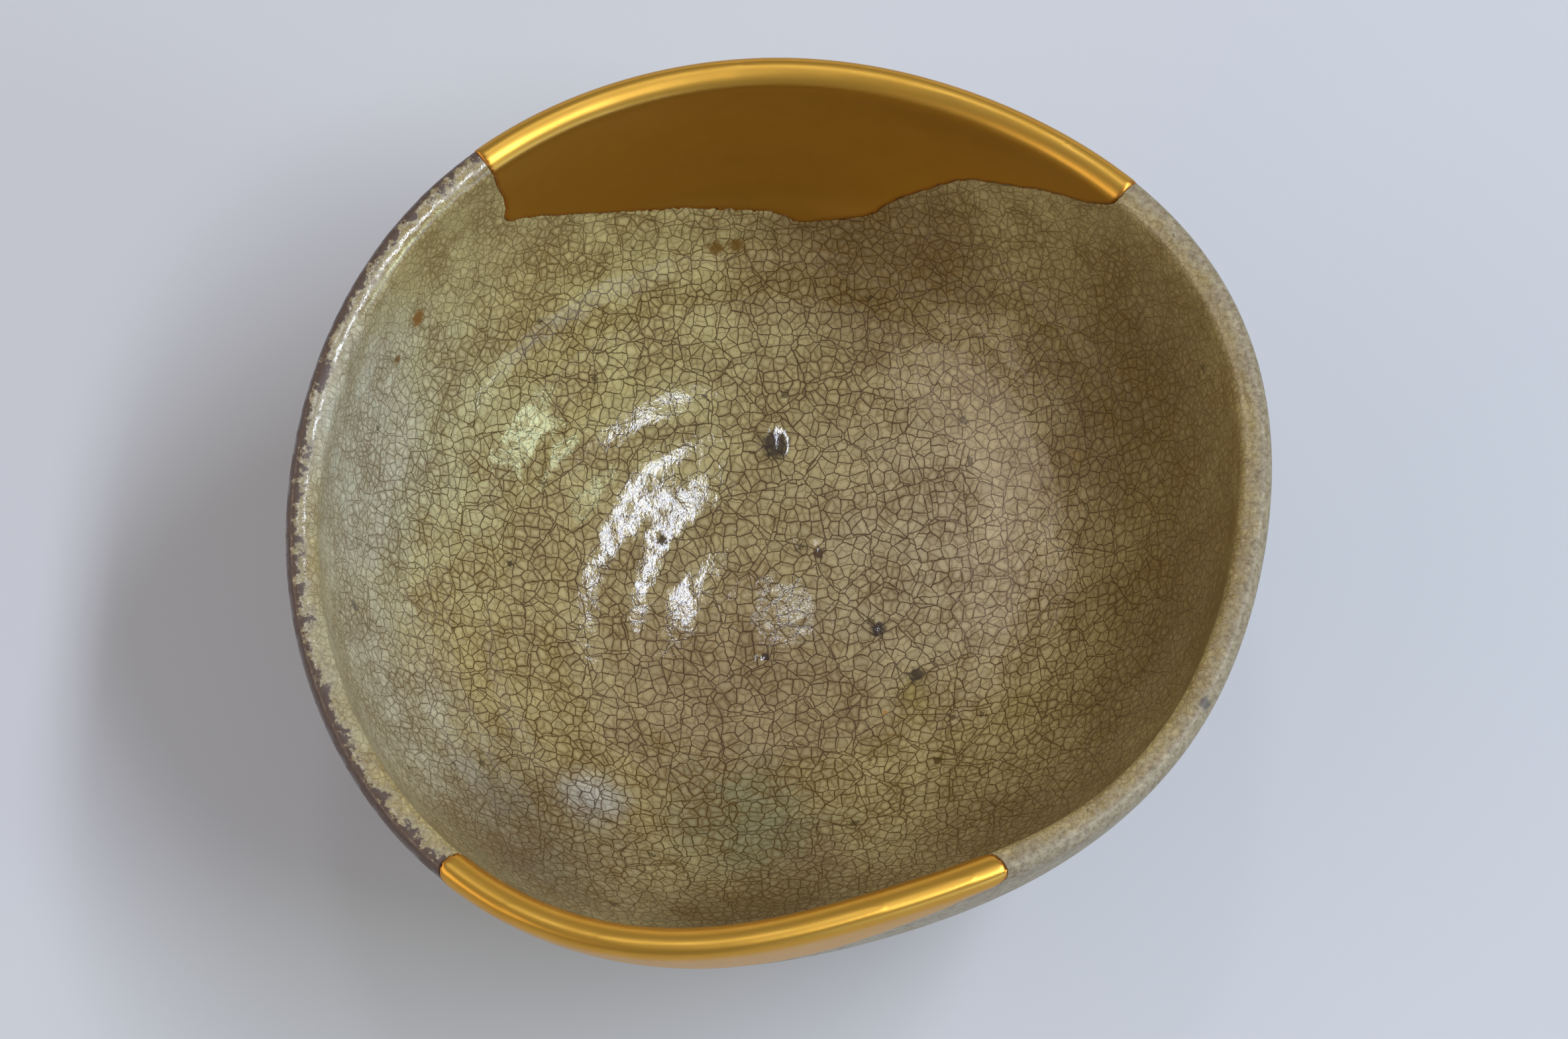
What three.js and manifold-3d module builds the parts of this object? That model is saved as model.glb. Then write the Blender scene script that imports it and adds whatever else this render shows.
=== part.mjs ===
// A kintsugi tea bowl: a hand-shaped stoneware bowl whose rim broke away in two places.
// Each break was made good with a fill of lacquer putty, shaped to the wall and gilded.
// Millimetres, +Z up. The bowl stands on Z = 0, and +Y is the side of the larger fill.

import * as THREE from "three";
import { mergeVertices } from "three/addons/utils/BufferGeometryUtils.js";
import Module from "manifold-3d";

// ---- Driving dimensions ----

const RIM_RADIUS = 60; // outer radius of the rim before it is drawn out of round
const LIP_CREST = 65; // height of the top of the lip
const RIM_LEAN = 5.7; // degrees by which the outside leans outwards at the rim
const RIM_WALL = 4; // thickness of the wall at the lip, which is half round
const HOLLOW_DEPTH = 50; // depth of the hollow below the centre of the lip's half round

const FOOT_RADIUS = 25.8; // widest radius of the foot ring
const FOOT_ROOT = { radius: 25, height: 9 }; // where the belly springs from the foot
const FOOT_EDGE = 1; // softening of the ring's edges
const FOOT_RING_WIDTH = 4; // width of the ring on the ground, edges included
const RECESS_HEIGHT = 5.4; // height of the hollow cut inside the foot ring
const RECESS_DRAFT = 1.2; // how far the recess narrows towards its top
const NIPPLE = { radius: 4.6, height: 1.6 }; // the small cone left at the centre of the recess

// The rim is out of round: [lobes round the rim, height of a lobe in mm, where one peaks in degrees].
const RIM_LOBES = [[2, 2.15, 28.5], [3, 1.1, -0.5], [4, 0.6, -39], [5, 0.45, 29], [6, 0.25, 18.5]];
// The lip rises and falls in the same way.
const LIP_WAVES = [[2, 0.6, 95], [3, 0.35, 20]];
const LOBE_GROWTH = 1.2; // power by which the lobes grow from the foot's root to the rim

// The edge of each break, [degrees round the bowl, height in mm], from left to right
// as seen from outside. Both ends run out through the lip.
const BACK_BREAK = [
  [43, 66.5], [41.4, 64], [43.8, 60.4], [46.6, 58.1], [50, 56.5], [56.5, 52.8],
  [62.6, 50.6], [67.6, 46.2], [72.8, 42], [74.9, 39.8], [79.3, 38.7], [83.4, 38.1],
  [85.3, 37.5], [88.6, 38.6], [90.5, 39.2], [96.7, 39.8], [102.8, 40.8], [109.5, 41.8],
  [116.2, 44], [122.5, 47.2], [126.5, 49.7], [130.4, 51.7], [129, 55], [130, 62],
];
const FRONT_BREAK = [
  [-130.6, 66.5], [-128.6, 63], [-125.5, 59.5], [-121, 56], [-115.5, 53], [-109, 51],
  [-103, 50.6], [-97.5, 52], [-93.7, 54], [-88, 54.6], [-82, 56], [-76.3, 58.6],
  [-70.5, 60.4], [-65.4, 62.4], [-61, 63], [-59.3, 67],
];
const JOINT_GAP = 0.3; // gap between a fill and the broken edge

const ROUND_STEPS = 92; // faces round the bowl
const BELLY_STEPS = 13;
const LIP_STEPS = 6;
const HOLLOW_STEPS = 14;

const GLAZE = { color: "#8a7f5c", roughness: 0.25, metalness: 0 };
const GOLD = { color: "#c8912f", roughness: 0.3, metalness: 1 };

// ---- The bowl before it broke ----

const LIP_RADIUS = RIM_WALL / 2;
const LIP_CENTRE = LIP_CREST - LIP_RADIUS; // height of the centre of the lip's half round

// Points [radius, height] of the foot, from the axis out and up to the belly.
function footProfile() {
  const ringInside = FOOT_RADIUS - FOOT_RING_WIDTH;
  return [
    [0, RECESS_HEIGHT - NIPPLE.height],
    [NIPPLE.radius / 2, RECESS_HEIGHT - NIPPLE.height * 0.7],
    [NIPPLE.radius, RECESS_HEIGHT],
    [ringInside - RECESS_DRAFT, RECESS_HEIGHT],
    [ringInside, FOOT_EDGE],
    [ringInside + FOOT_EDGE, 0],
    [FOOT_RADIUS - FOOT_EDGE, 0],
    [FOOT_RADIUS, FOOT_EDGE],
    [(FOOT_RADIUS + FOOT_ROOT.radius) / 2, FOOT_ROOT.height / 2],
  ].map(([radius, height]) => new THREE.Vector2(radius, height));
}

// The whole section: foot, belly, lip and hollow, starting and ending on the axis.
function bowlProfile() {
  // The belly is the ellipse that passes through the foot's root and leans by RIM_LEAN at the rim.
  const rise = LIP_CENTRE - FOOT_ROOT.height;
  const spread = RIM_RADIUS ** 2 - FOOT_ROOT.radius ** 2;
  const lean = RIM_RADIUS * Math.tan(THREE.MathUtils.degToRad(RIM_LEAN));
  const flatness = (spread - 2 * lean * rise) / rise ** 2;
  const widestAboveLip = lean / flatness;
  const bellyRadius = Math.sqrt(RIM_RADIUS ** 2 + flatness * widestAboveLip ** 2);
  const bellyDrop = bellyRadius / Math.sqrt(flatness);
  const belly = new THREE.EllipseCurve(
    0, LIP_CENTRE + widestAboveLip, bellyRadius, bellyDrop,
    -Math.acos(FOOT_ROOT.radius / bellyRadius), -Math.asin(widestAboveLip / bellyDrop),
  );
  const lip = new THREE.EllipseCurve(RIM_RADIUS - LIP_RADIUS, LIP_CENTRE, LIP_RADIUS, LIP_RADIUS, 0, Math.PI);
  const hollow = new THREE.EllipseCurve(
    0, LIP_CENTRE, RIM_RADIUS - RIM_WALL, HOLLOW_DEPTH, 0, -Math.PI / 2, true,
  );
  const inside = hollow.getPoints(HOLLOW_STEPS).slice(1);
  inside.at(-1).x = 0;
  return [
    ...footProfile(),
    ...belly.getPoints(BELLY_STEPS),
    ...lip.getPoints(LIP_STEPS).slice(1),
    ...inside,
  ];
}

// Sum of the waves that go round the bowl, at one angle in radians.
function sumOfWaves(waves, angle) {
  return waves.reduce(
    (sum, [count, size, peak]) => sum + size * Math.cos(count * (angle - THREE.MathUtils.degToRad(peak))),
    0,
  );
}

// Draws the round bowl out of round, more and more from the foot to the rim.
function drawOutOfRound(geometry) {
  const position = geometry.getAttribute("position");
  const point = new THREE.Vector3();
  for (let i = 0; i < position.count; i++) {
    point.fromBufferAttribute(position, i);
    const radius = Math.hypot(point.x, point.y);
    const angle = Math.atan2(point.y, point.x);
    const rise = (point.z - FOOT_ROOT.height) / (LIP_CENTRE - FOOT_ROOT.height);
    const growth = THREE.MathUtils.clamp(rise, 0, 1) ** LOBE_GROWTH;
    const onAxis = radius === 0;
    const newRadius = onAxis ? 0 : radius + growth * sumOfWaves(RIM_LOBES, angle);
    const newHeight = point.z + growth ** 2 * sumOfWaves(LIP_WAVES, angle);
    position.setXYZ(i, newRadius * Math.cos(angle), newRadius * Math.sin(angle), newHeight);
  }
  return geometry;
}

// ---- Joining and cutting ----

const wasm = await Module();
wasm.setup();

// A closed geometry as a solid. Points on the axis merge, and the faces that this flattens are dropped.
function solidFrom(geometry) {
  const bare = geometry.clone();
  bare.deleteAttribute("normal");
  bare.deleteAttribute("uv");
  const merged = mergeVertices(bare);
  const index = merged.getIndex().array;
  const faces = [];
  for (let i = 0; i < index.length; i += 3) {
    const [a, b, c] = index.slice(i, i + 3);
    if (a !== b && b !== c && c !== a) faces.push(a, b, c);
  }
  return new wasm.Manifold(new wasm.Mesh({
    numProp: 3,
    vertProperties: new Float32Array(merged.getAttribute("position").array),
    triVerts: new Uint32Array(faces),
  }));
}

function geometryFrom(solid) {
  const { vertProperties, triVerts } = solid.getMesh();
  const geometry = new THREE.BufferGeometry();
  geometry.setAttribute("position", new THREE.BufferAttribute(vertProperties, 3));
  geometry.setIndex(new THREE.BufferAttribute(triVerts, 1));
  geometry.computeVertexNormals();
  return geometry;
}

// ---- The breaks ----

const UNROLLED_RADIUS = RIM_RADIUS - LIP_RADIUS; // a break is drawn flat at the middle of the wall
const OPEN_HEIGHT = 82; // every break is open up to here, clear of the lip
const CUT_REACH = { from: 40, to: 112, steps: 9 }; // how far out from the axis a break is cut

// A break's edge drawn flat, closed above the lip: x runs round the wall, y is the height.
function unrolled(edge) {
  const first = edge[0];
  const last = edge.at(-1);
  const corners = [...edge, [last[0], OPEN_HEIGHT], [first[0], OPEN_HEIGHT]];
  return corners.map(([degrees, height]) =>
    new THREE.Vector2(THREE.MathUtils.degToRad(degrees) * UNROLLED_RADIUS, height));
}

// The same outline with every side moved inward by gap. It runs anticlockwise.
function inset(corners, gap) {
  return corners.map((corner, i) => {
    const arriving = corner.clone().sub(corners.at(i - 1)).normalize();
    const leaving = corners[(i + 1) % corners.length].clone().sub(corner).normalize();
    const along = arriving.add(leaving).normalize();
    const inward = new THREE.Vector2(-along.y, along.x);
    return corner.clone().addScaledVector(inward, gap / along.dot(leaving));
  });
}

// The space of a break: its flat outline given depth, then bent round the bowl's axis.
function breakSpace(corners) {
  const depth = CUT_REACH.to - CUT_REACH.from;
  const geometry = new THREE.ExtrudeGeometry(new THREE.Shape(corners), {
    depth, steps: CUT_REACH.steps, bevelEnabled: false,
  });
  const position = geometry.getAttribute("position");
  const point = new THREE.Vector3();
  for (let i = 0; i < position.count; i++) {
    point.fromBufferAttribute(position, i);
    const angle = point.x / UNROLLED_RADIUS;
    const radius = CUT_REACH.from + point.z;
    position.setXYZ(i, radius * Math.cos(angle), radius * Math.sin(angle), point.y);
  }
  return solidFrom(geometry);
}

// ---- The pieces ----

const wholeGeometry = drawOutOfRound(
  new THREE.LatheGeometry(bowlProfile(), ROUND_STEPS).rotateX(Math.PI / 2),
);
const wholeBowl = solidFrom(wholeGeometry);

const brokenBowl = [BACK_BREAK, FRONT_BREAK].reduce(
  (bowl, edge) => bowl.subtract(breakSpace(unrolled(edge))),
  wholeBowl,
);

function fillFor(edge) {
  return wholeBowl.intersect(breakSpace(inset(unrolled(edge), JOINT_GAP)));
}

const bowl = new THREE.Group();

function addPiece(name, solid, finish) {
  const mesh = new THREE.Mesh(geometryFrom(solid), new THREE.MeshStandardMaterial(finish));
  mesh.name = name;
  bowl.add(mesh);
}

addPiece("bowl_body", brokenBowl, GLAZE);
addPiece("back_gold_fill", fillFor(BACK_BREAK), GOLD);
addPiece("front_gold_fill", fillFor(FRONT_BREAK), GOLD);

// The rim's lobes push it to one side, so the bowl is moved until its rim is centred on the origin.
wholeGeometry.computeBoundingBox();
const centre = wholeGeometry.boundingBox.getCenter(new THREE.Vector3());
bowl.position.set(-centre.x, -centre.y, 0);

export default bowl;
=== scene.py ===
import math

import bpy
import numpy as np
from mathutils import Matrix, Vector, noise


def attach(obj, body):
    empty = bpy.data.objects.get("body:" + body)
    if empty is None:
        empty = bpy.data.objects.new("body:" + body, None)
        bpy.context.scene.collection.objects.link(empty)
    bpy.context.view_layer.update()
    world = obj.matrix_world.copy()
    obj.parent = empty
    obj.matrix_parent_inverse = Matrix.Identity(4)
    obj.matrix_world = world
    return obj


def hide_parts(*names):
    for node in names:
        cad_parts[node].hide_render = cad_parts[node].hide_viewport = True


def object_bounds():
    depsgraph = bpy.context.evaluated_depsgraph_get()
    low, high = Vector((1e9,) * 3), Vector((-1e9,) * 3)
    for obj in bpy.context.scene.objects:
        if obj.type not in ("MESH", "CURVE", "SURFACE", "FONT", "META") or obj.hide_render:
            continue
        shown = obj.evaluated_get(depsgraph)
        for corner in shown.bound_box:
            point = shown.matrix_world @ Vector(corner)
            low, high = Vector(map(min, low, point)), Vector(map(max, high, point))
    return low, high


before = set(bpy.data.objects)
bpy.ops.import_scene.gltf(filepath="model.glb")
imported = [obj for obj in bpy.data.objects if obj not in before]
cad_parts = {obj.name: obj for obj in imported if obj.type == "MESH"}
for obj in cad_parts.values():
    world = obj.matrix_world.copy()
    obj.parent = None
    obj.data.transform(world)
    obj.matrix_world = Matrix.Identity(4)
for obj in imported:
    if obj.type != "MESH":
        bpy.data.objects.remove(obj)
cad_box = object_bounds()

# ======================================================================================
# The stoneware bowl
# A tea bowl of iron-rich stoneware, thrown thick and pushed out of round by hand while
# the clay was soft. Its foot ring was turned and left bare, and the rest was dipped in a
# grey-olive glaze that crackled as it cooled and took up brown stain from years of tea.
# ======================================================================================

MM = 0.001
RIM_RADIUS = 59.85 * MM      # outer radius of the lip before it was pushed out of round
RIM_LEAN = 5.7               # degrees by which the outside leans outwards at the rim
LIP_CREST = 64.85 * MM
LIP_RADIUS = 2.0 * MM        # half the wall at the lip, and the height of the rounding
LIP_OUTSIDE = 1.3 * MM       # the crest lies this far in, so the rounding is longer inside
LIP_CENTRE = LIP_CREST - LIP_RADIUS
HOLLOW_RADIUS = RIM_RADIUS - 2 * LIP_RADIUS
HOLLOW_DEPTH = 49.8 * MM     # from the centre of the lip down to the bottom of the hollow
FOOT_RADIUS = 25.7 * MM
FOOT_ROOT_RADIUS = 25.0 * MM
FOOT_ROOT_HEIGHT = 9.0 * MM
RECESS_HEIGHT = 5.5 * MM
ROUND_STEPS = 72
FINE_LEVELS = 2


def arc(centre, radius, drop, start, end, steps):
    """Points (radius, height) of an elliptical arc about a centre, between two angles in radians."""
    angles = [start + (end - start) * i / steps for i in range(steps + 1)]
    return [(centre[0] + radius * math.cos(a), centre[1] + drop * math.sin(a)) for a in angles]


ring_inside = FOOT_RADIUS - 4.0 * MM
foot_stations = [
    (4.6 * MM, RECESS_HEIGHT - 0.4 * MM), (6.5 * MM, RECESS_HEIGHT), (12 * MM, RECESS_HEIGHT),
    (18 * MM, RECESS_HEIGHT), (ring_inside - 1.6 * MM, RECESS_HEIGHT), (ring_inside - 0.8 * MM, 4.6 * MM),
    (ring_inside, 1.2 * MM), (ring_inside + 0.5 * MM, 0.2 * MM), (ring_inside + 1.0 * MM, 0.0),
    (FOOT_RADIUS - 1.0 * MM, 0.0), (FOOT_RADIUS - 0.3 * MM, 0.3 * MM), (FOOT_RADIUS, 1.2 * MM),
    (FOOT_RADIUS - 0.4 * MM, 5.0 * MM), (FOOT_ROOT_RADIUS, FOOT_ROOT_HEIGHT - 0.9 * MM),
]

# The belly is the ellipse that springs from the foot's root and leans by RIM_LEAN at the rim.
rise = LIP_CENTRE - FOOT_ROOT_HEIGHT
spread = RIM_RADIUS ** 2 - FOOT_ROOT_RADIUS ** 2
lean = RIM_RADIUS * math.tan(math.radians(RIM_LEAN))
flatness = (spread - 2 * lean * rise) / rise ** 2
widest = LIP_CENTRE + lean / flatness
belly_radius = math.sqrt(RIM_RADIUS ** 2 + lean ** 2 / flatness)
belly_drop = belly_radius / math.sqrt(flatness)
root_angle = -math.acos((FOOT_ROOT_RADIUS + 0.8 * MM) / belly_radius)
rim_angle = -math.asin((widest - LIP_CENTRE) / belly_drop)
crest_radius = RIM_RADIUS - LIP_OUTSIDE
lip_inside = 2 * LIP_RADIUS - LIP_OUTSIDE
stations = foot_stations
stations += arc((0, widest), belly_radius, belly_drop, root_angle, rim_angle, 15)
stations += arc((crest_radius, LIP_CENTRE), LIP_OUTSIDE, LIP_RADIUS, 0, math.pi / 2, 4)[1:]
stations += arc((crest_radius, LIP_CENTRE), lip_inside, LIP_RADIUS, math.pi / 2, math.pi, 5)[1:]
stations += arc((0, LIP_CENTRE), HOLLOW_RADIUS, HOLLOW_DEPTH, 0, -math.radians(85), 25)[1:]

# The wall is drawn up ring by ring, from the middle of the underside to the bottom of the hollow.
bpy.ops.object.select_all(action="DESELECT")
radius, height = stations[0]
bpy.ops.mesh.primitive_circle_add(vertices=ROUND_STEPS, radius=radius, location=(0, 0, height))
bowl = bpy.context.object
bowl.name = "glazed_bowl"
bpy.ops.object.transform_apply(location=True)
bpy.ops.object.mode_set(mode="EDIT")
bpy.ops.mesh.select_mode(type="EDGE")
bpy.ops.mesh.select_all(action="SELECT")
bpy.ops.mesh.fill_grid(span=ROUND_STEPS // 4)
bpy.ops.mesh.select_all(action="DESELECT")
bpy.ops.mesh.select_non_manifold()
for next_radius, next_height in stations[1:]:
    bpy.ops.mesh.extrude_edges_move(TRANSFORM_OT_translate={"value": (0, 0, next_height - height)})
    widen = next_radius / radius
    bpy.ops.transform.resize(value=(widen, widen, 1), center_override=(0, 0, next_height))
    radius, height = next_radius, next_height
bpy.ops.mesh.fill_grid(span=ROUND_STEPS // 4)
bpy.ops.mesh.select_all(action="SELECT")
bpy.ops.mesh.normals_make_consistent(inside=False)
bpy.ops.object.mode_set(mode="OBJECT")


def apply_modifier(piece, kind, **settings):
    bpy.context.view_layer.objects.active = piece
    modifier = piece.modifiers.new(kind.title(), kind)
    for name, value in settings.items():
        setattr(modifier, name, value)
    bpy.ops.object.modifier_apply(modifier=modifier.name)


apply_modifier(bowl, "SUBSURF", levels=FINE_LEVELS, render_levels=FINE_LEVELS)


def read_points(piece, what="co"):
    values = np.empty(len(piece.data.vertices) * 3)
    piece.data.vertices.foreach_get(what, values)
    return values.reshape(-1, 3)


def write_points(piece, points):
    piece.data.vertices.foreach_set("co", points.ravel())
    piece.data.update()


def smooth_step(low, high, value):
    t = np.clip((value - low) / (high - low), 0, 1)
    return t * t * (3 - 2 * t)


# The marks of throwing: a spiral ridge left in the hollow, and shallow rings outside.
SPIRAL_PITCH = 9.5 * MM
SPIRAL_HEIGHT = 0.16 * MM
RING_PITCH = 7.0 * MM
RING_HEIGHT = 0.10 * MM
HAND_WAVE = 17 * MM          # width of the dents that fingers left in the soft wall
HAND_DEPTH = 0.22 * MM
RIPPLE_WIDTH = 4.5 * MM      # the glaze itself lies in faint ripples
RIPPLE_DEPTH = 0.028 * MM

points = read_points(bowl)
normals = read_points(bowl, "normal")
radii = np.hypot(points[:, 0], points[:, 1])
heights = points[:, 2]
angles = np.arctan2(points[:, 1], points[:, 0])
middle_of_wall = (RIM_RADIUS - LIP_RADIUS) * np.sqrt(
    np.clip(1 - ((LIP_CENTRE - heights) / (HOLLOW_DEPTH + 3.0 * MM)) ** 2, 0, 1))
in_hollow = (radii < middle_of_wall) & (heights > 11 * MM)
below_rim = 1 - smooth_step(38 * MM, 56 * MM, heights)
above_foot = smooth_step(FOOT_ROOT_HEIGHT, 16 * MM, heights)

# The flat disc at the bottom of the hollow is settled on to the hollow's curve.
disc = in_hollow & (radii < 6 * MM)
points[disc, 2] = LIP_CENTRE - HOLLOW_DEPTH * np.sqrt(1 - (radii[disc] / HOLLOW_RADIUS) ** 2)

along_hollow = HOLLOW_RADIUS * np.arcsin(np.clip(radii / HOLLOW_RADIUS, 0, 1))
firm_hand = 0.35 + 0.65 * smooth_step(-0.2, 0.9, np.cos(angles - math.radians(145)))
spiral = np.cos(2 * math.pi * along_hollow / SPIRAL_PITCH - angles) * firm_hand
spiral *= smooth_step(3 * MM, 15 * MM, radii)
rings = np.cos(2 * math.pi * heights / RING_PITCH + np.sin(angles)) * above_foot
dents = np.array([noise.noise(Vector(p) / HAND_WAVE) for p in points])
ripples = np.array([noise.noise(Vector(p) / RIPPLE_WIDTH) for p in points])
marks = np.where(
    in_hollow,
    (spiral * SPIRAL_HEIGHT + dents * HAND_DEPTH + ripples * RIPPLE_DEPTH) * below_rim,
    (rings * RING_HEIGHT + dents * HAND_DEPTH + ripples * RIPPLE_DEPTH) * below_rim * above_foot)
points += normals * marks[:, None]

# Beads of iron that melted out of the clay stand up in the glaze: [x, y, radius, height], mm.
IRON_BEADS = [
    [-0.6, 23.9, 2.3, 0.8], [13.0, -1.3, 1.4, 0.25], [17.9, -8.4, 1.2, 0.2], [-15.8, 10.8, 0.9, 0.2],
    [2.6, 10.5, 0.8, 0.2], [5.2, 9.8, 0.9, 0.25], [-2.1, -4.7, 0.9, 0.25],
]
for x, y, width, height in IRON_BEADS:
    away = np.hypot(points[:, 0] - x * MM, points[:, 1] - y * MM) / (width * MM)
    swell = np.where(in_hollow & (heights < 30 * MM), np.exp(-2 * away ** 4), 0)
    points += normals * (swell * height * MM)[:, None]

# Pushed out of round: [lobes round the rim, size in mm, where one peaks in degrees].
RIM_LOBES = [[2, 2.15, 28.5], [3, 1.1, -0.5], [4, 0.6, -39], [5, 0.45, 29], [6, 0.25, 18.5]]
LIP_WAVES = [[2, 0.6, 95], [3, 0.35, 20]]
LOBE_GROWTH = 1.2            # power by which the lobes grow from the foot to the rim


def sum_of_waves(waves, angles):
    return sum(size * MM * np.cos(count * (angles - math.radians(peak))) for count, size, peak in waves)


def push_out_of_round(points):
    radii = np.hypot(points[:, 0], points[:, 1])
    angles = np.arctan2(points[:, 1], points[:, 0])
    rise = (points[:, 2] - FOOT_ROOT_HEIGHT) / (LIP_CENTRE - FOOT_ROOT_HEIGHT)
    growth = np.clip(rise, 0, 1) ** LOBE_GROWTH
    radii = radii + growth * sum_of_waves(RIM_LOBES, angles)
    heights = points[:, 2] + growth ** 2 * sum_of_waves(LIP_WAVES, angles)
    return np.column_stack((radii * np.cos(angles), radii * np.sin(angles), heights))


def pull_back_round(points):
    """The same points on the bowl as it was before it was pushed."""
    radii = np.hypot(points[:, 0], points[:, 1])
    angles = np.arctan2(points[:, 1], points[:, 0])
    heights = points[:, 2].copy()
    for _ in range(3):
        rise = (heights - FOOT_ROOT_HEIGHT) / (LIP_CENTRE - FOOT_ROOT_HEIGHT)
        growth = np.clip(rise, 0, 1) ** LOBE_GROWTH
        heights = points[:, 2] - growth ** 2 * sum_of_waves(LIP_WAVES, angles)
    return radii - growth * sum_of_waves(RIM_LOBES, angles), angles, heights


points = push_out_of_round(points)

# The wheel's axis isn't the middle of the pushed rim, so the bowl is set with its rim
# central over the origin, as the frame has it.
low, high = points.min(axis=0), points.max(axis=0)
frame_centre = (np.array(cad_box[0]) + np.array(cad_box[1])) / 2
axis_shift = frame_centre - (low + high) / 2
axis_shift[2] = 0
write_points(bowl, points + axis_shift)

# Where the rim broke away: [degrees round the bowl, height in mm], from left to right as
# seen from outside. Both ends of a break run out through the lip.
BACK_BREAK = [
    [43, 66.5], [41.4, 64], [43.8, 60.4], [46.6, 58.1], [50, 56.5], [56.5, 52.8],
    [62.6, 50.6], [67.6, 46.2], [72.8, 42], [74.9, 39.8], [79.3, 38.7], [83.4, 38.1],
    [85.3, 37.5], [88.6, 38.6], [90.5, 39.2], [96.7, 39.8], [102.8, 40.8], [109.5, 41.8],
    [116.2, 44], [122.5, 47.2], [126.5, 49.7], [130.4, 51.7], [129, 55], [130, 62],
]
FRONT_BREAK = [
    [-130.6, 66.5], [-128.6, 63], [-125.5, 59.5], [-121, 56], [-115.5, 53], [-109, 51],
    [-103, 50.6], [-97.5, 52], [-93.7, 54], [-88, 54.6], [-82, 56], [-76.3, 58.6],
    [-70.5, 60.4], [-65.4, 62.4], [-61, 63], [-59.3, 67],
]
UNROLLED_RADIUS = 58 * MM    # a break is drawn flat at the middle of the wall
OPEN_HEIGHT = 76 * MM        # clear of the lip
BREAK_STEP = 0.7 * MM        # spacing of the points along a break
GRAIN = 2.2 * MM             # the clay broke in steps about this long
GRAIN_DEPTH = 0.16 * MM


def break_line(edge):
    """The broken edge as points along it (arc, height), with its corners eased and its grain added."""
    corners = [[edge[0][0], OPEN_HEIGHT / MM], *edge, [edge[-1][0], OPEN_HEIGHT / MM]]
    line = np.array([[math.radians(angle) * UNROLLED_RADIUS, height * MM] for angle, height in corners])
    quarter = line[:-1] * 0.75 + line[1:] * 0.25
    three_quarters = line[:-1] * 0.25 + line[1:] * 0.75
    eased = np.vstack((line[:1], np.stack((quarter, three_quarters), axis=1).reshape(-1, 2)[1:-1], line[-1:]))
    lengths = np.hypot(*np.diff(eased, axis=0).T)
    run = np.concatenate(([0], np.cumsum(lengths)))
    evenly = np.linspace(0, run[-1], int(run[-1] / BREAK_STEP))
    line = np.column_stack([np.interp(evenly, run, eased[:, axis]) for axis in (0, 1)])
    grain = [noise.noise_vector(Vector((x, y, 0)) / GRAIN) for x, y in line]
    line += np.array([[g.x, g.y] for g in grain]) * GRAIN_DEPTH
    return line


def break_space(name, line, grow=0.0):
    """A block that fills a break: the flat outline is given depth and bent round the axis."""
    cut_from, cut_depth, cut_steps = 42 * MM, 30 * MM, 4
    columns = len(line)
    tangent = np.gradient(line, axis=0)
    tangent /= np.hypot(*tangent.T)[:, None]
    edge = line + np.column_stack((tangent[:, 1], -tangent[:, 0])) * grow
    top = np.column_stack((np.linspace(edge[0, 0], edge[-1, 0], columns), np.full(columns, OPEN_HEIGHT + 5 * MM)))
    bpy.ops.object.select_all(action="DESELECT")
    bpy.ops.mesh.primitive_grid_add(x_subdivisions=columns - 1, y_subdivisions=1, size=1)
    block = bpy.context.object
    block.name = name
    flat = read_points(block)
    column = np.rint((flat[:, 0] + 0.5) * (columns - 1)).astype(int)
    upper = flat[:, 1] > 0
    flat[:, :2] = np.where(upper[:, None], top[column], edge[column])
    flat[:, 2] = cut_from
    write_points(block, flat)
    bpy.ops.object.mode_set(mode="EDIT")
    bpy.ops.mesh.select_all(action="SELECT")
    for _ in range(cut_steps):
        bpy.ops.mesh.extrude_region_move(TRANSFORM_OT_translate={"value": (0, 0, cut_depth / cut_steps)})
    bpy.ops.mesh.select_all(action="SELECT")
    bpy.ops.mesh.normals_make_consistent(inside=False)
    bpy.ops.object.mode_set(mode="OBJECT")
    flat = read_points(block)
    turn = flat[:, 0] / UNROLLED_RADIUS
    bent = np.column_stack((flat[:, 2] * np.cos(turn), flat[:, 2] * np.sin(turn), flat[:, 1]))
    write_points(block, bent + axis_shift)
    return block


back_line = break_line(BACK_BREAK)
front_line = break_line(FRONT_BREAK)


def copy_of(piece, name):
    bpy.ops.object.select_all(action="DESELECT")
    piece.select_set(True)
    bpy.context.view_layer.objects.active = piece
    bpy.ops.object.duplicate()
    copied = bpy.context.object
    copied.name = name
    return copied


unbroken = copy_of(bowl, "unbroken_bowl")
for line in (back_line, front_line):
    block = break_space("break", line)
    apply_modifier(bowl, "BOOLEAN", object=block, operation="DIFFERENCE", solver="MANIFOLD")
    bpy.data.objects.remove(block)

bpy.ops.object.select_all(action="DESELECT")
bowl.select_set(True)
bpy.context.view_layer.objects.active = bowl
bpy.ops.object.shade_smooth_by_angle(angle=math.radians(35))


def mark_distance_to_joint(piece, lines):
    """Stores how far each point lies from the nearest gold joint, in mm, as the attribute from_joint."""
    points = read_points(piece) - axis_shift
    flat = np.column_stack((np.arctan2(points[:, 1], points[:, 0]) * UNROLLED_RADIUS, points[:, 2]))
    nearest = np.full(len(flat), 2.0 * MM)
    for line in lines:
        for start, end in zip(line[:-1], line[1:]):
            along = end - start
            t = np.clip(((flat - start) @ along) / (along @ along), 0, 1)
            nearest = np.minimum(nearest, np.hypot(*(flat - start - t[:, None] * along).T))
    attribute = piece.data.attributes.new("from_joint", "FLOAT", "POINT")
    attribute.data.foreach_set("value", nearest / MM)


mark_distance_to_joint(bowl, (back_line, front_line))

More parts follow.
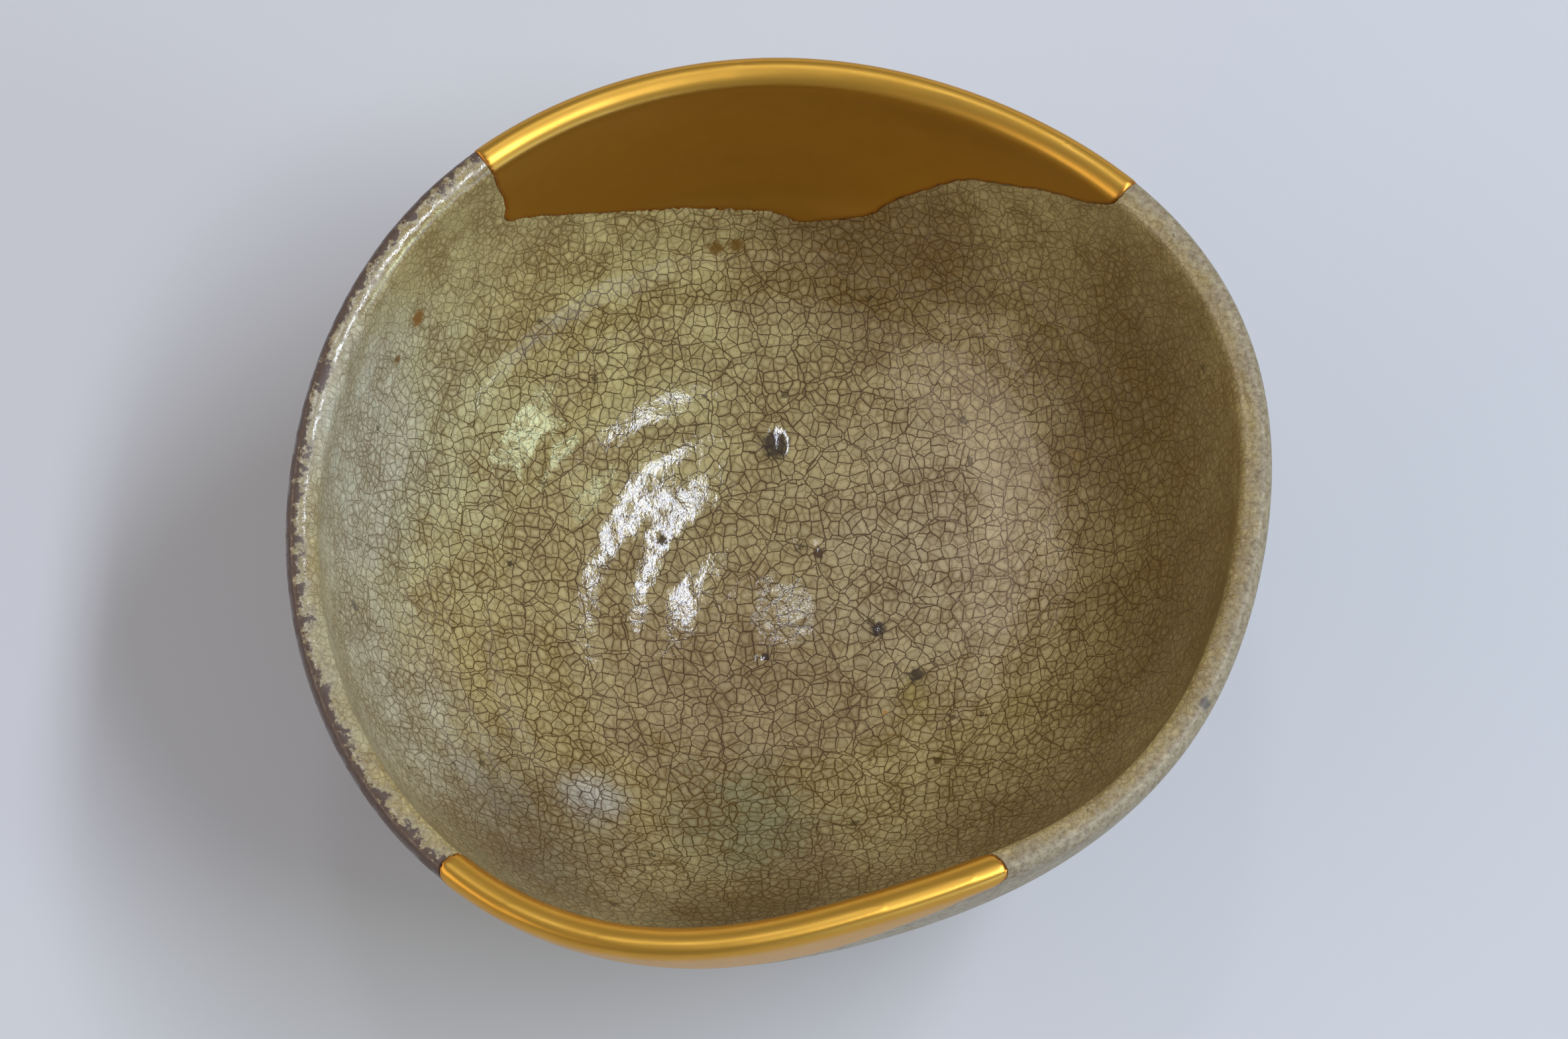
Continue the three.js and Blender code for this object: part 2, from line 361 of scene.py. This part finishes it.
# The crackle is drawn on the wall laid out flat: both faces are discs that meet at the crest of
# the lip. past_crest is how far a point lies from the crest, above 0 inside and below 0 outside.
radii, angles, heights = pull_back_round(read_points(bowl) - axis_shift)
middle_of_wall = (RIM_RADIUS - LIP_RADIUS) * np.sqrt(
    np.clip(1 - ((LIP_CENTRE - heights) / (HOLLOW_DEPTH + 3.0 * MM)) ** 2, 0, 1))
in_hollow = (radii < middle_of_wall) & (heights > 11 * MM)
down_hollow = np.arctan2((LIP_CENTRE - heights) / HOLLOW_DEPTH, radii / HOLLOW_RADIUS) * HOLLOW_RADIUS
down_outside = np.arctan2((widest - heights) / belly_drop, radii / belly_radius) + rim_angle
down_outside *= (belly_radius + belly_drop) / 2
down_wall = np.where(in_hollow, down_hollow + lip_inside, down_outside + LIP_OUTSIDE) + LIP_RADIUS
over_lip = np.abs(radii - crest_radius) + LIP_CREST - heights
from_crest = np.where(heights > LIP_CENTRE, over_lip, down_wall) / MM
inside = np.where(heights > LIP_CENTRE, radii < crest_radius, in_hollow)
past_crest = np.where(inside, from_crest, -from_crest)
run = math.pi / 2 * HOLLOW_RADIUS / MM + 4.7 - from_crest
flat_wall = np.column_stack((run * np.cos(angles), run * np.sin(angles), np.zeros(len(run))))
attribute = bowl.data.attributes.new("flat_wall", "FLOAT_VECTOR", "POINT")
attribute.data.foreach_set("vector", flat_wall.ravel())
attribute = bowl.data.attributes.new("past_crest", "FLOAT", "POINT")
attribute.data.foreach_set("value", past_crest)


def srgb(hex_colour):
    """A hex colour as the linear colour that a shader takes."""
    channels = [int(hex_colour[i:i + 2], 16) / 255 for i in (1, 3, 5)]
    linear = [c / 12.92 if c <= 0.04045 else ((c + 0.055) / 1.055) ** 2.4 for c in channels]
    return (*linear, 1.0)


def add_node(tree, kind, inputs=None, **settings):
    """Adds a node with its settings. Each input is given a value, or is linked to an output."""
    node = tree.nodes.new("ShaderNode" + kind)
    for name, value in settings.items():
        setattr(node, name, value)
    for socket, value in (inputs or {}).items():
        if isinstance(value, bpy.types.NodeSocket):
            tree.links.new(value, node.inputs[socket])
        else:
            node.inputs[socket].default_value = value
    return node


def new_material(name):
    material = bpy.data.materials.new(name)
    material.use_nodes = True
    material.node_tree.nodes.clear()
    return material, material.node_tree


AMOUNT, BASE, OVER, BLEND = 0, 6, 7, 2   # the colour sockets of a Mix node

# Crackled ash glaze over iron-rich stoneware, fired glossy. Light enters the glaze, so the
# cells look milky, and the cracks show as fine brown lines where tea has soaked in.
glaze, tree = new_material("crackled_ash_glaze")
place = add_node(tree, "TexCoord").outputs["Object"]
in_mm = add_node(tree, "VectorMath", {0: place, "Scale": 1 / MM}, operation="SCALE").outputs[0]

# Everything drifts a little, so that no line is straight and no patch is round.
flat_wall = add_node(tree, "Attribute", attribute_name="flat_wall").outputs["Vector"]
drift = add_node(tree, "TexNoise", {"Vector": in_mm, "Scale": 1 / 2.4, "Detail": 2.0})
drift = add_node(tree, "VectorMath", {0: drift.outputs["Color"], 1: (0.5, 0.5, 0.5)}, operation="SUBTRACT")
crazed = add_node(tree, "VectorMath", {0: drift.outputs[0], 1: (1.1, 1.1, 0.0), 2: flat_wall},
                  operation="MULTIPLY_ADD").outputs[0]
slow = add_node(tree, "TexNoise", {"Vector": in_mm, "Scale": 1 / 11, "Detail": 4.0, "Roughness": 0.6})
slow = add_node(tree, "VectorMath", {0: slow.outputs["Color"], 1: (0.5, 0.5, 0.5)}, operation="SUBTRACT")
slow_height = add_node(tree, "SeparateXYZ", {"Vector": slow.outputs[0]}).outputs["Z"]
wandering = add_node(tree, "VectorMath", {0: slow.outputs[0], 1: (22, 22, 22), 2: in_mm},
                     operation="MULTIPLY_ADD").outputs[0]

# The cracks come in three generations: [cell size in mm, half width of a line in mm, darkness].
# Each cell is crazed again on its own, so a younger crack ends where it meets an older one.
CRACKS = [[6.5, 0.065, 0.85], [1.8, 0.065, 0.9], [1.3, 0.04, 0.5]]
darkest_crack = 0.0
nearest_crack = 10.0
for cell_size, half_width, darkness in CRACKS:
    cells = {"Vector": crazed, "Scale": 1 / cell_size, "Randomness": 0.85}
    edge = add_node(tree, "TexVoronoi", cells, voronoi_dimensions="2D", feature="DISTANCE_TO_EDGE")
    from_crack = add_node(tree, "Math", {0: edge.outputs["Distance"], 1: cell_size}, operation="MULTIPLY")
    line = add_node(tree, "MapRange", {
        "Value": from_crack.outputs[0], "From Min": half_width * 0.3, "From Max": half_width * 2.0,
        "To Min": darkness, "To Max": 0.0,
    }, interpolation_type="SMOOTHSTEP")
    darkest_crack = add_node(tree, "Math", {0: line.outputs[0], 1: darkest_crack},
                             operation="MAXIMUM").outputs[0]
    nearest_crack = add_node(tree, "Math", {0: from_crack.outputs[0], 1: nearest_crack},
                             operation="MINIMUM").outputs[0]
    cell = add_node(tree, "TexVoronoi", cells, voronoi_dimensions="2D")
    crazed = add_node(tree, "VectorMath", {0: cell.outputs["Color"], 1: (90, 90, 0), 2: crazed},
                      operation="MULTIPLY_ADD").outputs[0]
cell_tone = add_node(tree, "SeparateColor", {"Color": cell.outputs["Color"]})

# Zones of colour: [x, y, z and reach in mm, colour, strength]. The dark brown zones on the far,
# right and near walls are partly painted shade, darker where those walls face away from the window.
# The pale grey zones high on the left wall are partly painted light and reflection of the window,
# and the pale zone right of the middle is partly a painted sheen. The rest are the glaze running
# thick and thin.
GLAZE_BODY = srgb("#b09f6c")
GLAZE_AND_PAINTED_LIGHT_ZONES = [
    [-46, 16, 40, 30, "#bcb589", 0.7],
    [-16, 34, 26, 30, "#beb178", 0.8],
    [-6, -12, 14, 28, "#a18a61", 0.85],
    [24, 10, 19, 30, "#b6a581", 0.8],
    [-4, -30, 21, 16, "#807f5e", 0.8],
    [14, 46, 36, 24, "#765e37", 0.85],
    [50, 24, 42, 32, "#705f3a", 0.9],
    [52, -8, 44, 30, "#75633c", 0.9],
    [30, -38, 40, 28, "#7a643e", 0.8],
    [0, -48, 38, 24, "#6a5838", 0.9],
    [-34, -38, 38, 26, "#7a6e58", 0.85],
    [-52, -20, 48, 26, "#b8b19b", 0.9],
    [-56, 10, 52, 28, "#bcb8a4", 0.95],
]
colour = GLAZE_BODY
# The zones are mixed in: painted shade and painted light together with the glaze's own colours.
for x, y, z, reach, tint, strength in GLAZE_AND_PAINTED_LIGHT_ZONES:
    away = add_node(tree, "VectorMath", {0: wandering, 1: (x, y, z)}, operation="DISTANCE").outputs["Value"]
    amount = add_node(tree, "MapRange", {
        "Value": away, "From Min": reach * 0.2, "From Max": reach, "To Min": strength, "To Max": 0.0,
    }, interpolation_type="SMOOTHSTEP").outputs[0]
    colour = add_node(tree, "Mix", {AMOUNT: amount, BASE: colour, OVER: srgb(tint)},
                      data_type="RGBA").outputs[BLEND]

# Patches where iron and ash tinged the glaze. The first, a pale grey-white patch low on the left
# of the hollow, is a painted soft reflection.
TINGES_AND_PAINTED_SHEEN = [
    [-25.3, -27.3, 24.8, 7.0, "#cfcfcb", 0.55], [-33.6, -39.4, 40.3, 6.0, "#6a4c3c", 0.6],
    [5.5, -36.7, 26.6, 7.0, "#7a5540", 0.5], [17.6, -11.0, 17.0, 4.5, "#8a7a22", 0.65],
    [34.0, 13.0, 28.0, 5.0, "#8a7a20", 0.5], [30.0, -14.0, 25.0, 5.0, "#80701e", 0.5],
    [38.0, 18.0, 33.0, 4.0, "#94621e", 0.5],
]
nearly = add_node(tree, "VectorMath", {0: slow.outputs[0], 1: (9, 9, 9), 2: in_mm},
                  operation="MULTIPLY_ADD").outputs[0]
for x, y, z, reach, tint, strength in TINGES_AND_PAINTED_SHEEN:
    away = add_node(tree, "VectorMath", {0: nearly, 1: (x, y, z)}, operation="DISTANCE").outputs["Value"]
    amount = add_node(tree, "MapRange", {
        "Value": away, "From Min": 0.0, "From Max": reach, "To Min": strength, "To Max": 0.0,
    }, interpolation_type="SMOOTHSTEP").outputs[0]
    colour = add_node(tree, "Mix", {AMOUNT: amount, BASE: colour, OVER: srgb(tint)},
                      data_type="RGBA").outputs[BLEND]

# Each cell has a tone of its own. Its middle is milky, and its edges have taken up tea.
amount = add_node(tree, "MapRange", {"Value": cell_tone.outputs["Red"], "To Min": 0.88, "To Max": 1.14})
colour = add_node(tree, "VectorMath", {0: colour, "Scale": amount.outputs[0]}, operation="SCALE").outputs[0]
milk = add_node(tree, "MapRange", {
    "Value": nearest_crack, "From Min": 0.1, "From Max": 0.6, "To Min": 0.0, "To Max": 0.12,
}, interpolation_type="SMOOTHSTEP").outputs[0]
colour = add_node(tree, "Mix", {AMOUNT: milk, BASE: colour, OVER: srgb("#c3bf9f")},
                  data_type="RGBA").outputs[BLEND]
speck = add_node(tree, "TexNoise", {"Vector": in_mm, "Scale": 1 / 0.22, "Detail": 2.0})
amount = add_node(tree, "MapRange", {
    "Value": speck.outputs["Fac"], "From Min": 0.5, "From Max": 0.75, "To Min": 0.0, "To Max": 0.4,
}, interpolation_type="SMOOTHSTEP").outputs[0]
colour = add_node(tree, "Mix", {AMOUNT: amount, BASE: colour, OVER: srgb("#6f5a33")},
                  data_type="RGBA").outputs[BLEND]
tea = add_node(tree, "TexNoise", {"Vector": in_mm, "Scale": 1 / 6.5, "Detail": 4.0, "Roughness": 0.65})
tea = add_node(tree, "MapRange", {
    "Value": tea.outputs["Fac"], "From Min": 0.38, "From Max": 0.62, "To Min": 0.1, "To Max": 0.55,
}, interpolation_type="SMOOTHSTEP").outputs[0]
halo = add_node(tree, "MapRange", {
    "Value": nearest_crack, "From Min": 0.05, "From Max": 0.5, "To Min": 1.0, "To Max": 0.25,
}, interpolation_type="SMOOTHSTEP").outputs[0]
halo = add_node(tree, "Math", {0: halo, 1: tea}, operation="MULTIPLY").outputs[0]
colour = add_node(tree, "Mix", {AMOUNT: halo, BASE: colour, OVER: srgb("#6e5226")},
                  data_type="RGBA").outputs[BLEND]
height = add_node(tree, "SeparateXYZ", {"Vector": in_mm}).outputs["Z"]
faded = add_node(tree, "MapRange", {
    "Value": height, "From Min": 30.0, "From Max": 60.0, "To Min": 1.0, "To Max": 0.5,
}).outputs[0]
cracks = add_node(tree, "Math", {0: darkest_crack, 1: faded}, operation="MULTIPLY").outputs[0]
colour = add_node(tree, "Mix", {AMOUNT: cracks, BASE: colour, OVER: srgb("#3e2409")},
                  data_type="RGBA").outputs[BLEND]

# On the lip the glaze ran thin and pale, and it broke to brown along the outer edge.
past_crest = add_node(tree, "Attribute", attribute_name="past_crest").outputs["Fac"]
mottle = add_node(tree, "TexNoise", {"Vector": in_mm, "Scale": 1 / 2.2, "Detail": 4.0, "Roughness": 0.7})
ragged_lip = add_node(tree, "Math", {0: mottle.outputs["Fac"], 1: 9.0, 2: past_crest},
                      operation="MULTIPLY_ADD").outputs[0]
pale = add_node(tree, "MapRange", {
    "Value": ragged_lip, "From Min": 8.2, "From Max": 4.5, "To Min": 0.0, "To Max": 0.85,
}, interpolation_type="SMOOTHSTEP").outputs[0]
freckle = add_node(tree, "TexNoise", {"Vector": in_mm, "Scale": 1 / 0.7, "Detail": 4.0, "Roughness": 0.75})
amount = add_node(tree, "MapRange", {"Value": freckle.outputs["Fac"], "From Min": 0.35, "From Max": 0.62})
thin_glaze = add_node(tree, "Mix", {AMOUNT: amount.outputs[0], BASE: srgb("#6e5c40"), OVER: srgb("#a39678")},
                      data_type="RGBA").outputs[BLEND]
colour = add_node(tree, "Mix", {AMOUNT: pale, BASE: colour, OVER: thin_glaze},
                  data_type="RGBA").outputs[BLEND]
over_edge = add_node(tree, "MapRange", {
    "Value": ragged_lip, "From Min": 5.2, "From Max": 4.4, "To Min": 0.0, "To Max": 0.9,
}, interpolation_type="SMOOTHSTEP").outputs[0]
below_edge = add_node(tree, "MapRange", {
    "Value": ragged_lip, "From Min": -1.5, "From Max": 0.5, "To Min": 0.0, "To Max": 1.0,
}, interpolation_type="SMOOTHSTEP").outputs[0]
across = add_node(tree, "SeparateXYZ", {"Vector": in_mm})
to_left = add_node(tree, "MapRange", {
    "Value": across.outputs["X"], "From Min": 30.0, "From Max": -20.0, "To Min": 0.2, "To Max": 1.0,
}).outputs[0]
brown = add_node(tree, "Math", {0: over_edge, 1: below_edge}, operation="MULTIPLY").outputs[0]
brown = add_node(tree, "Math", {0: brown, 1: to_left}, operation="MULTIPLY").outputs[0]
colour = add_node(tree, "Mix", {AMOUNT: brown, BASE: colour, OVER: srgb("#47332d")},
                  data_type="RGBA").outputs[BLEND]

# Iron in the clay stained the glaze in spots: [x, y, z and radius in mm, colour].
IRON_SPOTS = [
    [-0.6, 23.6, 18.5, 2.2, "#35271f"], [13.0, -1.3, 14.5, 1.2, "#33241f"],
    [17.9, -8.4, 16.5, 1.2, "#3a2a1a"], [-15.8, 10.8, 15.8, 1.0, "#40301c"],
    [2.6, 10.5, 14.0, 0.7, "#40301c"], [5.2, 9.8, 14.0, 0.9, "#4a301c"],
    [-2.1, -4.7, 13.2, 0.6, "#33241f"], [-35.6, 4.7, 24.1, 0.6, "#3a2c18"],
    [20.4, -21.5, 21.1, 0.7, "#4a3a18"], [-53.5, -9.1, 47.1, 0.9, "#5a5252"],
    [-46.4, 28.6, 50.3, 1.4, "#7a5120"], [-49.0, 23.3, 49.1, 0.8, "#6a4a20"],
    [-8.6, 45.4, 34.7, 1.3, "#6a4c1c"], [-6.0, 45.9, 34.7, 1.2, "#6a4c1c"],
    [13.9, -13.4, 16.3, 0.45, "#b07018"], [51.0, -27.3, 64.3, 0.9, "#4a4038"],
]
ragged = add_node(tree, "TexNoise", {"Vector": in_mm, "Scale": 1 / 0.7, "Detail": 3.0})
ragged = add_node(tree, "VectorMath", {0: ragged.outputs["Color"], 1: (0.5, 0.5, 0.5)}, operation="SUBTRACT")
ragged = add_node(tree, "VectorMath", {0: ragged.outputs[0], 1: (1.8, 1.8, 1.8), 2: in_mm},
                  operation="MULTIPLY_ADD").outputs[0]
for x, y, z, radius, tint in IRON_SPOTS:
    away = add_node(tree, "VectorMath", {0: ragged, 1: (x, y, z)}, operation="DISTANCE").outputs["Value"]
    amount = add_node(tree, "MapRange", {
        "Value": away, "From Min": radius * 0.5, "From Max": radius * 1.2, "To Min": 0.9, "To Max": 0.0,
    }, interpolation_type="SMOOTHSTEP").outputs[0]
    colour = add_node(tree, "Mix", {AMOUNT: amount, BASE: colour, OVER: srgb(tint)},
                      data_type="RGBA").outputs[BLEND]

# Fine black specks are scattered all over.
scattered = add_node(tree, "TexVoronoi", {"Vector": ragged, "Scale": 1 / 5.0})
picked = add_node(tree, "SeparateColor", {"Color": scattered.outputs["Color"]}).outputs["Green"]
size = add_node(tree, "MapRange", {"Value": picked, "From Min": 0.45, "To Min": 0.0, "To Max": 0.13}).outputs[0]
peppered = add_node(tree, "Math", {0: scattered.outputs["Distance"], 1: size}, operation="LESS_THAN").outputs[0]
peppered = add_node(tree, "Math", {0: peppered, 1: 0.7}, operation="MULTIPLY").outputs[0]
colour = add_node(tree, "Mix", {AMOUNT: peppered, BASE: colour, OVER: srgb("#40321c")},
                  data_type="RGBA").outputs[BLEND]

# The foot was wiped clean of glaze and shows the brown clay, sandy and matt.
wiped = add_node(tree, "Math", {0: slow_height, 1: 7.0, 2: height}, operation="MULTIPLY_ADD").outputs[0]
wiped = add_node(tree, "Math", {0: wiped, 1: past_crest}, operation="MAXIMUM").outputs[0]
bare = add_node(tree, "MapRange", {
    "Value": wiped, "From Min": 14.2, "From Max": 13.6, "To Min": 0.0, "To Max": 1.0,
}).outputs[0]
flash = add_node(tree, "MapRange", {
    "Value": wiped, "From Min": 10.5, "From Max": 13.8, "To Min": 0.0, "To Max": 0.7,
}, interpolation_type="SMOOTHSTEP").outputs[0]
sand = add_node(tree, "TexNoise", {"Vector": in_mm, "Scale": 1 / 0.35, "Detail": 4.0, "Roughness": 0.75})
clay = add_node(tree, "Mix", {AMOUNT: sand.outputs["Fac"], BASE: srgb("#54402f"), OVER: srgb("#8a7258")},
                data_type="RGBA").outputs[BLEND]
clay = add_node(tree, "Mix", {AMOUNT: flash, BASE: clay, OVER: srgb("#7d4a26")},
                data_type="RGBA").outputs[BLEND]
colour = add_node(tree, "Mix", {AMOUNT: bare, BASE: colour, OVER: clay}, data_type="RGBA").outputs[BLEND]

# Fine pits and swells break up the edge of every reflection. The bare clay is rough.
peel = add_node(tree, "TexNoise", {"Vector": in_mm, "Scale": 1 / 0.42, "Detail": 2.0, "Roughness": 0.6})
swell = add_node(tree, "TexNoise", {"Vector": in_mm, "Scale": 1 / 2.6, "Detail": 1.0})
skin = add_node(tree, "Math", {0: peel.outputs["Fac"], 1: 0.034}, operation="MULTIPLY").outputs[0]
skin = add_node(tree, "Math", {0: swell.outputs["Fac"], 1: 0.16, 2: skin}, operation="MULTIPLY_ADD").outputs[0]
grain = add_node(tree, "Math", {0: sand.outputs["Fac"], 1: bare}, operation="MULTIPLY").outputs[0]
skin = add_node(tree, "Math", {0: grain, 1: 0.12, 2: skin}, operation="MULTIPLY_ADD").outputs[0]
relief = add_node(tree, "Bump", {"Strength": 1.0, "Distance": MM, "Height": skin})
dull_patch = add_node(tree, "MapRange", {
    "Value": mottle.outputs["Fac"], "From Min": 0.53, "From Max": 0.47, "To Min": 0.0, "To Max": 1.0,
}).outputs[0]
to_right = add_node(tree, "Math", {0: 1.2, 1: to_left}, operation="SUBTRACT").outputs[0]
dull_lip = add_node(tree, "Math", {0: dull_patch, 1: to_right}, operation="MAXIMUM").outputs[0]
dull_lip = add_node(tree, "Math", {0: pale, 1: dull_lip}, operation="MULTIPLY").outputs[0]
dullness = add_node(tree, "Math", {0: dull_lip, 1: 0.45, 2: 0.1}, operation="MULTIPLY_ADD").outputs[0]
dullness = add_node(tree, "Math", {0: bare, 1: dullness}, operation="MAXIMUM").outputs[0]
surface = add_node(tree, "BsdfPrincipled", {
    "Base Color": colour, "Roughness": dullness, "IOR": 1.5, "Normal": relief.outputs["Normal"],
})
add_node(tree, "OutputMaterial", {"Surface": surface.outputs["BSDF"]})
bowl.data.materials.clear()
bowl.data.materials.append(glaze)

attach(bowl, "root")
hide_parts("bowl_body")

# ======================================================================================
# The gold fills
# Each gap in the rim is built up with lacquer putty, rubbed down to the line of the wall,
# and finished with gold powder on lacquer that is burnished with a smooth stone. The gold
# stands a hair proud of the glaze, with a softly rounded edge.
# ======================================================================================

GOLD_PROUD = 0.13 * MM
GOLD_EDGE = 0.02 * MM        # the gold grips the broken edge by this much
PUTTY_GRAIN = 0.34 * MM      # fineness of the mesh that rounds the edges

# Gold powder on lacquer, burnished: a warm satin metal, browner where the lacquer of the
# joint shows through.
gilt, tree = new_material("burnished_gold_on_lacquer")
place = add_node(tree, "TexCoord").outputs["Object"]
in_mm = add_node(tree, "VectorMath", {0: place, "Scale": 1 / MM}, operation="SCALE").outputs[0]
wear = add_node(tree, "TexNoise", {"Vector": in_mm, "Scale": 1 / 6, "Detail": 4.0, "Roughness": 0.6})
powder = add_node(tree, "TexNoise", {"Vector": in_mm, "Scale": 1 / 0.12, "Detail": 2.0})
hand_waves = add_node(tree, "TexNoise", {"Vector": in_mm, "Scale": 1 / 9, "Detail": 1.0})
joint = add_node(tree, "Attribute", attribute_name="from_joint").outputs["Fac"]
colour = add_node(tree, "Mix", {AMOUNT: wear.outputs["Fac"], BASE: srgb("#d9a648"), OVER: srgb("#c99539")},
                  data_type="RGBA").outputs[BLEND]
lacquer = add_node(tree, "MapRange", {
    "Value": joint, "From Min": 0.1, "From Max": 0.9, "To Min": 0.55, "To Max": 0.0,
}, interpolation_type="SMOOTHSTEP").outputs[0]
colour = add_node(tree, "Mix", {AMOUNT: lacquer, BASE: colour, OVER: srgb("#b0622a")},
                  data_type="RGBA").outputs[BLEND]
rubbed = add_node(tree, "MapRange", {"Value": wear.outputs["Fac"], "To Min": 0.3, "To Max": 0.42}).outputs[0]
skin = add_node(tree, "Math", {0: powder.outputs["Fac"], 1: 0.004}, operation="MULTIPLY").outputs[0]
skin = add_node(tree, "Math", {0: hand_waves.outputs["Fac"], 1: 0.12, 2: skin},
                operation="MULTIPLY_ADD").outputs[0]
relief = add_node(tree, "Bump", {"Strength": 1.0, "Distance": MM, "Height": skin})
surface = add_node(tree, "BsdfPrincipled", {
    "Base Color": colour, "Metallic": 1.0, "Roughness": rubbed, "Normal": relief.outputs["Normal"],
})
add_node(tree, "OutputMaterial", {"Surface": surface.outputs["BSDF"]})

for name, line in (("back_gold", back_line), ("front_gold", front_line)):
    gold = copy_of(unbroken, name)
    bpy.ops.object.mode_set(mode="EDIT")
    bpy.ops.mesh.select_all(action="SELECT")
    bpy.ops.transform.shrink_fatten(value=GOLD_PROUD)
    bpy.ops.object.mode_set(mode="OBJECT")
    block = break_space("break", line, grow=GOLD_EDGE)
    apply_modifier(gold, "BOOLEAN", object=block, operation="INTERSECT", solver="MANIFOLD")
    bpy.data.objects.remove(block)
    apply_modifier(gold, "REMESH", mode="VOXEL", voxel_size=PUTTY_GRAIN)
    apply_modifier(gold, "SMOOTH", factor=0.5, iterations=4)
    bpy.ops.object.select_all(action="DESELECT")
    gold.select_set(True)
    bpy.context.view_layer.objects.active = gold
    bpy.ops.object.shade_smooth()
    mark_distance_to_joint(gold, (line,))
    gold.data.materials.clear()
    gold.data.materials.append(gilt)
    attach(gold, "root")
    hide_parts(name + "_fill")
bpy.data.objects.remove(unbroken)

# ======================================================================================
# The floor, the lights and the camera
# The bowl stands on a pale cloth. A bright window high on its right makes the broken
# highlights in the hollow, and a warm wall on its left lies over the right of the hollow
# as a pale sheen. The camera looks down into it from the side of the smaller fill.
# ======================================================================================

bpy.ops.object.select_all(action="DESELECT")
bpy.ops.mesh.primitive_plane_add(size=4.0)
floor = bpy.context.object
floor.name = "floor"
# Pale matt cloth, seen as an even light grey.
cloth, tree = new_material("pale_matt_cloth")
surface = add_node(tree, "BsdfPrincipled", {"Base Color": srgb("#c4c4c6"), "Roughness": 0.9})
add_node(tree, "OutputMaterial", {"Surface": surface.outputs["BSDF"]})
floor.data.materials.append(cloth)

LIGHTS = [
    # name, azimuth and elevation in degrees, distance, width, height, power, colour
    ["window", -3, 63, 1.3, 0.95, 0.15, 13, "#e4edff"],
    ["roof_window", 98, 74, 1.3, 0.12, 0.06, 0.8, "#e4edff"],
    ["garden_window", -16, 27, 1.5, 0.3, 0.35, 4.2, "#dcf2cc"],
    ["open_door", -38, 13, 1.1, 1.2, 0.4, 4, "#a8c2ff"],
    ["left_wall", -170, 32, 1.6, 2.4, 0.8, 10, "#ffecd6"],
    ["far_wall", 85, 16, 1.8, 2.2, 0.6, 3, "#fffaf0"],
]
for name, azimuth, elevation, distance, width, depth, power, tint in LIGHTS:
    light = bpy.data.lights.new(name, "AREA")
    light.shape = "RECTANGLE"
    light.size, light.size_y = width, depth
    light.energy = power
    light.color = srgb(tint)[:3]
    lamp = bpy.data.objects.new(name, light)
    bpy.context.collection.objects.link(lamp)
    turn, rise = math.radians(azimuth), math.radians(elevation)
    place = Vector((math.cos(rise) * math.cos(turn), math.cos(rise) * math.sin(turn), math.sin(rise))) * distance
    lamp.location = place
    lamp.rotation_euler = (-place).to_track_quat("-Z", "Y").to_euler()

world = bpy.data.worlds.new("studio")
world.use_nodes = True
world.node_tree.nodes["Background"].inputs["Color"].default_value = srgb("#b9bdc4")
world.node_tree.nodes["Background"].inputs["Strength"].default_value = 0.62
bpy.context.scene.world = world
bpy.context.scene.view_settings.view_transform = "Standard"

VIEW_ELEVATION = 70          # degrees above the horizon
VIEW_DISTANCE = 0.5
VIEW_TARGET = Vector((0.48 * MM, -4.07 * MM, 65 * MM))
rise = math.radians(VIEW_ELEVATION)
camera = bpy.data.objects.new("camera", bpy.data.cameras.new("camera"))
bpy.context.collection.objects.link(camera)
camera.location = VIEW_TARGET + VIEW_DISTANCE * Vector((0, -math.cos(rise), math.sin(rise)))
camera.rotation_euler = (math.radians(90 - VIEW_ELEVATION), 0, 0)
camera.data.sensor_width = 36
camera.data.lens = 94.43
camera.data.clip_start = 0.01
bpy.context.scene.camera = camera
